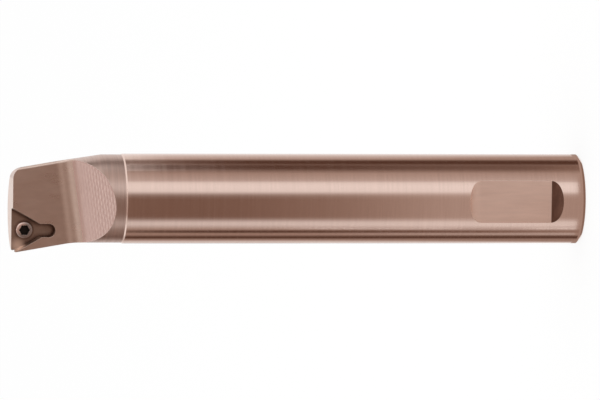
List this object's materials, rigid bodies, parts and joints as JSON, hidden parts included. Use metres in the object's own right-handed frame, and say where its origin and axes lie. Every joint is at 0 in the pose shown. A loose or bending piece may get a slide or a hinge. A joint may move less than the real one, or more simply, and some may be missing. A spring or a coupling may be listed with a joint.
{
  "type": "boring bar",
  "caption": "Round steel boring bar with an offset half-cut head, an empty triangular insert seat with its clamp screw, and a set-screw flat near the rear.",
  "frame": {"origin": "centre of the rear face, on the shank axis; the bar stands on that face", "axes": "+Z along the shank from the rear face to the head; the rake face and the set-screw flat look along -Y; the insert's nose points along -X"},
  "size_m": [0.035, 0.0318, 0.2032],
  "materials": {
    "bar_steel": "ground and satin, warm nickel-bronze tint",
    "screw_steel": "satin, slightly dark"
  },
  "bodies": {
    "root": {"bar_body": "bar_steel", "clamp_screw": "screw_steel"}
  },
  "joints": []
}
